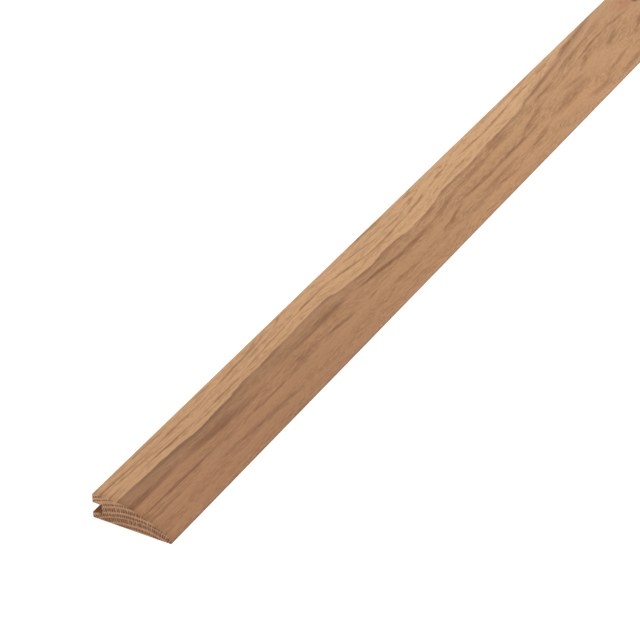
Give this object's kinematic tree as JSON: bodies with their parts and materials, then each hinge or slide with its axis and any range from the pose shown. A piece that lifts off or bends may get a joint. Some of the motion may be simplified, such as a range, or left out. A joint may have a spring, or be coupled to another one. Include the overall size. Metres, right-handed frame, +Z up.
{
  "type": "flush threshold reducer strip",
  "caption": "Hardwood threshold strip: flat land, long convex fall to a thin nose, and a square groove in the thick edge for a floor plank's tongue.",
  "frame": {"origin": "middle of the flat underside, half way along the strip", "axes": "+Y along the strip, +Z up through its thickness, +X from the grooved edge towards the thin nose"},
  "size_m": [0.0396, 0.9144, 0.0127],
  "materials": {
    "prefinished_hardwood": "clear satin on the top, raw wood on the ends, groove and underside"
  },
  "bodies": {
    "root": {"reducer_strip": "prefinished_hardwood"}
  },
  "joints": []
}
